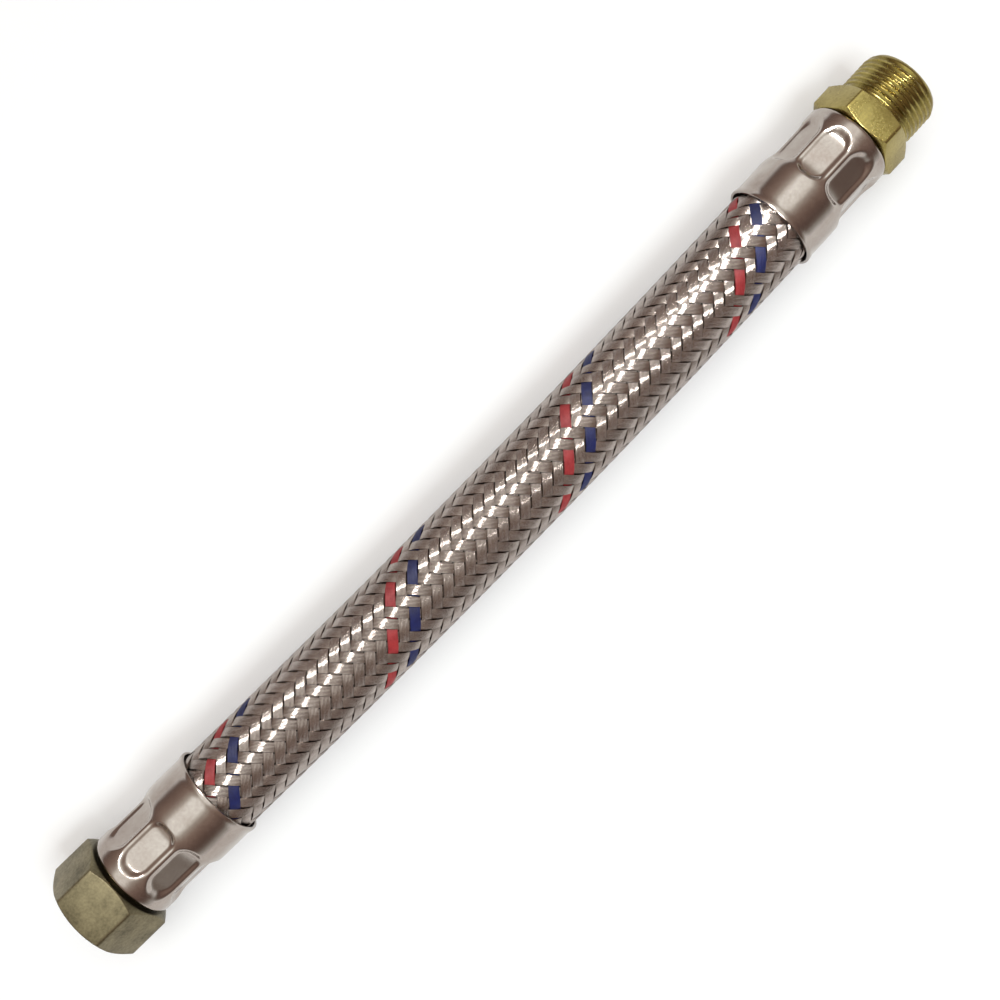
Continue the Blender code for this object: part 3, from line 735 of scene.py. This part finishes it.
# Wear: worn edges show through where the mottling allows it.
worn_edges, given, out = effect_group(
    "worn_edges",
    {"Colour": rgba(0.5, 0.5, 0.5), "Bright": rgba(1, 1, 1), "Amount": 0.6, "Mask": 0.0},
    {"Colour": "NodeSocketColor"},
)
worn = add_node(worn_edges, "ShaderNodeAttribute", attribute_name="worn").outputs["Fac"]
patchy = add_math(worn_edges, "SUBTRACT", 1.25, given["Mask"])
worn_share = add_math(worn_edges, "MULTIPLY", add_math(worn_edges, "MULTIPLY", worn, patchy), given["Amount"])
worn_share.node.use_clamp = True
plug(worn_edges, out["Colour"], mix_colour(worn_edges, worn_share, given["Colour"], given["Bright"]))


def brass(name, light, dark, bright, turn, smooth, rough, line_width, line_depth):
    """Brass with patches of tarnish, fine machining lines and brighter worn edges."""
    material, tree, shader = new_material(name, Metallic=1.0)
    tarnish = use_group(
        tree, mottling, Light=light, Dark=dark, Size=7.0 * MM, Grain=0.4, Smooth=smooth, Rough=rough
    )
    edges = use_group(
        tree, worn_edges, Colour=tarnish["Colour"], Bright=bright, Amount=0.55, Mask=tarnish["Mask"]
    )
    plug(tree, shader.inputs["Base Color"], edges["Colour"])
    plug(tree, shader.inputs["Roughness"], tarnish["Roughness"])
    lines = use_group(tree, lathe_lines, Width=line_width, Turn=turn)
    bump = add_node(
        tree, "ShaderNodeBump", [("Height", lines["Height"]), ("Distance", line_depth), ("Strength", 0.6)]
    )
    plug(tree, shader.inputs["Normal"], bump.outputs[0])
    return material


dull_brass = brass(
    "dull_brass",
    rgba(0.125, 0.112, 0.07),
    rgba(0.077, 0.067, 0.041),
    rgba(0.34, 0.28, 0.16),
    turn=-1.0,
    smooth=0.34,
    rough=0.48,
    line_width=0.4 * MM,
    line_depth=0.006 * MM,
)
nut_radius = hexagon_radius(NUT_FLATS)
nut_chamfer = NUT_FLATS / 2 - 0.4 * MM
nut_drop = (nut_radius - nut_chamfer) * math.tan(math.radians(30.0))
nut_outside = softened(
    [
        (NUT_BACK_RADIUS, NUT_BACK),
        (nut_chamfer, NUT_BACK),
        (nut_radius, NUT_BACK + nut_drop),
        (nut_radius, NUT_FRONT - nut_drop),
        (nut_chamfer, NUT_FRONT),
        (NUT_MOUTH, NUT_FRONT),
        (NUT_BORE, NUT_FRONT - NUT_MOUTH_DEPTH),
    ],
    0.16 * MM,
)
nut_inside = softened(
    [
        (NUT_BORE, NUT_BACK + NUT_THREAD_END - 0.2 * MM),
        (NUT_BORE, NUT_BACK + NUT_BACK_WALL),
        (NUT_NECK_HOLE, NUT_BACK + NUT_BACK_WALL),
        (NUT_NECK_HOLE, NUT_BACK),
        (NUT_BACK_RADIUS, NUT_BACK),
    ],
    0.12 * MM,
)[:-1]
nut_thread = thread_rows(
    NUT_FRONT - 1.3 * MM, NUT_BACK + NUT_THREAD_END, NUT_BORE, NUT_THREAD_DEPTH, 1.4 * MM
)
nut = lathe("threaded_nut", nut_outside + nut_thread + nut_inside, HEX_CLOCKS, NUT_END, dull_brass, "nut")
edge_wear_attribute(nut)
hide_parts("swivel_nut")

# The tail inside the hose, turned from brass and held by its barbs, and the rubber washer that lies loose in
# the nut against the tail's flange. Both show only through the nut's open mouth.

turned_brass = brass(
    "turned_brass",
    rgba(0.68, 0.57, 0.27),
    rgba(0.52, 0.42, 0.18),
    rgba(0.85, 0.72, 0.38),
    turn=-1.0,
    smooth=0.22,
    rough=0.34,
    line_width=0.2 * MM,
    line_depth=0.008 * MM,
)
refinish("nut_end_tail", turned_brass)
refinish("sealing_washer", black_rubber)

# The other end: hexagon, 3/4 inch pipe thread and barbed tail, turned from one brass bar, brighter than
# the nut. The ferrule holds its tail in the hose; its hexagon stands just clear of the ferrule's rear edge.

bright_brass = brass(
    "bright_brass",
    rgba(0.256, 0.207, 0.059),
    rgba(0.171, 0.13, 0.035),
    rgba(0.45, 0.37, 0.145),
    turn=1.0,
    smooth=0.2,
    rough=0.32,
    line_width=0.3 * MM,
    line_depth=0.006 * MM,
)
HEX_BACK = FERRULE_LENGTH + 0.3 * MM
HEX_FRONT = HEX_BACK + 9.5 * MM
HEX_FLATS = 28.0 * MM
TIP = HEX_FRONT + 14.8 * MM
THREAD_CREST = 13.22 * MM
THREAD_DEPTH = 0.55 * MM
THREAD_ROOT = THREAD_CREST - THREAD_DEPTH
UNDERCUT = 0.9 * MM
TIP_CHAMFER = 1.2 * MM
OPEN_BORE = 10.0 * MM
OPEN_BORE_DEPTH = 12.0 * MM
TAIL_BORE = 7.25 * MM
TAIL_START = 1.0 * MM
BARBS = 4
BARB_SPACING = 7.0 * MM
FIRST_BARB = 4.0 * MM
BARB_PEAK = 9.0 * MM
BARB_ROOT = 8.5 * MM
NECK_OUTLINE = [(8.5, 34.8), (9.25, 34.8), (9.25, 35.1), (8.7, 35.1), (8.7, 36.6)]
hex_radius = hexagon_radius(HEX_FLATS)
hex_chamfer = HEX_FLATS / 2 - 0.3 * MM
hex_drop = (hex_radius - hex_chamfer) * math.tan(math.radians(30.0))
barbed_tail = [(TAIL_BORE + 0.6 * MM, TAIL_START)]
for barb in range(BARBS):
    edge = FIRST_BARB + BARB_SPACING * barb
    barbed_tail += [(BARB_PEAK, edge), (BARB_ROOT, edge + 0.3 * MM)]
barbed_tail += [(radius * MM, height * MM) for radius, height in NECK_OUTLINE]
hexagon = softened(
    [
        (9.5 * MM, HEX_BACK),
        (hex_chamfer, HEX_BACK),
        (hex_radius, HEX_BACK + hex_drop),
        (hex_radius, HEX_FRONT - hex_drop),
        (hex_chamfer, HEX_FRONT),
        (THREAD_ROOT, HEX_FRONT),
        (THREAD_ROOT, HEX_FRONT + UNDERCUT),
    ],
    0.16 * MM,
)
male_thread = thread_rows(
    HEX_FRONT + UNDERCUT + 0.1 * MM, TIP - TIP_CHAMFER - 0.05 * MM, THREAD_ROOT, THREAD_DEPTH, 0.8 * MM
)
open_end = softened(
    [
        (THREAD_ROOT, TIP - TIP_CHAMFER),
        (THREAD_CREST - 1.3 * MM, TIP),
        (OPEN_BORE + 0.3 * MM, TIP),
        (OPEN_BORE, TIP - 0.3 * MM),
        (OPEN_BORE, TIP - OPEN_BORE_DEPTH),
        (TAIL_BORE, TIP - OPEN_BORE_DEPTH - OPEN_BORE + TAIL_BORE),
        (TAIL_BORE, TAIL_START),
    ],
    0.12 * MM,
)
male_fitting = lathe(
    "threaded_end", barbed_tail + hexagon + male_thread + open_end, HEX_CLOCKS, MALE_END, bright_brass, "hose"
)
edge_wear_attribute(male_fitting)
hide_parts("male_end_fitting")

# The studio: a white floor that fades into a white backdrop. A broad soft lamp over the hose's near side
# lights everything and casts the soft shadow; two narrow ones put the rows of bright dots on the wires.

FLOOR_COLOUR = rgba(0.86, 0.86, 0.86)
GLOW_COLOUR = rgba(0.95, 1.0, 1.08)
GLOW_NEAR = 0.14
GLOW_FAR = 0.46
floor_mesh = bpy.data.meshes.new("floor")
floor_mesh.from_pydata([(-3, -3, 0), (3, -3, 0), (3, 3, 0), (-3, 3, 0)], [], [(0, 1, 2, 3)])
floor_mesh.transform(Matrix.Translation((0.0, 0.0, -0.1 * MM)))
floor = bpy.data.objects.new("floor", floor_mesh)
scene.collection.objects.link(floor)
white_floor, tree, shader = new_material("white_floor", Roughness=0.9, Specular_IOR_Level=0.0)
shader.inputs["Base Color"].default_value = FLOOR_COLOUR
floor_place = tree.nodes.new("ShaderNodeTexCoord").outputs["Object"]
from_middle = add_node(tree, "ShaderNodeVectorMath", [(0, floor_place)], operation="LENGTH").outputs["Value"]
paler = add_node(
    tree, "ShaderNodeMapRange", [(0, from_middle), (1, 0.35), (2, 1.5), (3, GLOW_NEAR), (4, GLOW_FAR)]
).outputs[0]
glow = add_node(tree, "ShaderNodeEmission", [("Color", GLOW_COLOUR), ("Strength", paler)]).outputs[0]
both = add_node(tree, "ShaderNodeAddShader", [(0, shader.outputs[0]), (1, glow)]).outputs[0]
rays = tree.nodes.new("ShaderNodeLightPath").outputs
seen = add_math(
    tree,
    "MAXIMUM",
    rays["Is Camera Ray"],
    add_math(tree, "MAXIMUM", rays["Is Glossy Ray"], rays["Is Transmission Ray"]),
)
choice = add_node(tree, "ShaderNodeMixShader", [(0, seen), (1, shader.outputs[0]), (2, both)]).outputs[0]
plug(tree, tree.nodes["Material Output"].inputs["Surface"], choice)
floor_mesh.materials.append(white_floor)


def soft_lamp(name, place, aim, size, power, colour=(1.0, 1.0, 1.0)):
    """A rectangular lamp at one place, aimed at another."""
    data = bpy.data.lights.new(name, "AREA")
    data.shape = "RECTANGLE"
    data.size, data.size_y = size
    data.energy = power
    data.color = colour
    lamp = bpy.data.objects.new(name, data)
    scene.collection.objects.link(lamp)
    lamp.location = place
    lamp.rotation_mode = "QUATERNION"
    lamp.rotation_quaternion = (Vector(aim) - Vector(place)).to_track_quat("-Z", "Y")
    return lamp


broad_lamp = soft_lamp("broad_lamp", (0.0, -0.58, 1.2), (0.0, 0.0, 0.0), (0.6, 0.45), 8.4, (0.88, 0.97, 1.0))
broad_lamp.visible_glossy = False
narrow_lamp = soft_lamp("narrow_lamp", (0.1, 0.47, 1.0), (0.0, 0.0, 0.02), (0.2, 0.18), 8.3)
narrow_lamp.visible_diffuse = False
spot_lamp = soft_lamp("spot_lamp", (-0.21, 0.03, 1.0), (0.165, 0.0, 0.02), (0.2, 0.18), 0.14)
spot_lamp.data.spread = math.radians(14.0)
spot_lamp.visible_diffuse = False

# The room above the hose: a bright ceiling, dim warm walls, and the white backdrop round the floor. The
# backdrop fades out from three to eight degrees up for the metal, and fills all that the camera sees.

CEILING_MIDDLE = (0.0, 0.2, 0.98)
CEILING_STRETCH = (0.42, 1.0, 1.0)
BACKDROP_TOP = 0.14
BACKDROP_FULL = 0.06
world = bpy.data.worlds.new("studio")
world.use_nodes = True
scene.world = world
tree = world.node_tree
direction = tree.nodes.new("ShaderNodeTexCoord").outputs["Generated"]
stretched = add_node(
    tree, "ShaderNodeVectorMath", [(0, direction), (1, CEILING_STRETCH)], operation="MULTIPLY"
).outputs[0]
stretched = add_node(tree, "ShaderNodeVectorMath", [(0, stretched)], operation="NORMALIZE").outputs[0]
ceiling = add_node(
    tree, "ShaderNodeVectorMath", [(0, stretched), (1, CEILING_MIDDLE)], operation="DOT_PRODUCT"
).outputs["Value"]
ramp = tree.nodes.new("ShaderNodeValToRGB")
ramp.color_ramp.elements[0].color = rgba(0.34, 0.335, 0.32)
ramp.color_ramp.elements[1].position = 0.955
ramp.color_ramp.elements[1].color = rgba(0.98, 1.0, 0.97)
for position, colour in [
    (0.12, rgba(0.17, 0.135, 0.115)),
    (0.3, rgba(0.115, 0.077, 0.066)),
    (0.6, rgba(0.2, 0.14, 0.117)),
    (0.78, rgba(0.27, 0.2, 0.168)),
    (0.9, rgba(0.44, 0.4, 0.36)),
]:
    ramp.color_ramp.elements.new(position).color = colour
plug(tree, ramp.inputs[0], ceiling)
room = tree.nodes["Background"]
plug(tree, room.inputs["Color"], ramp.outputs[0])
room.inputs["Strength"].default_value = 1.68
backdrop = add_node(tree, "ShaderNodeBackground", [("Color", rgba(1, 1, 1)), ("Strength", 1.0)]).outputs[0]
height = add_node(tree, "ShaderNodeSeparateXYZ", [(0, direction)]).outputs[2]
low_down = add_node(
    tree, "ShaderNodeMapRange", [(0, height), (1, BACKDROP_TOP), (2, BACKDROP_FULL), (3, 0.0), (4, 1.0)]
).outputs[0]
seen = add_math(tree, "MAXIMUM", tree.nodes.new("ShaderNodeLightPath").outputs["Is Camera Ray"], low_down)
surroundings = add_node(
    tree, "ShaderNodeMixShader", [(0, seen), (1, room.outputs[0]), (2, backdrop)]
).outputs[0]
plug(tree, tree.nodes["World Output"].inputs["Surface"], surroundings)
scene.view_settings.view_transform = "Standard"
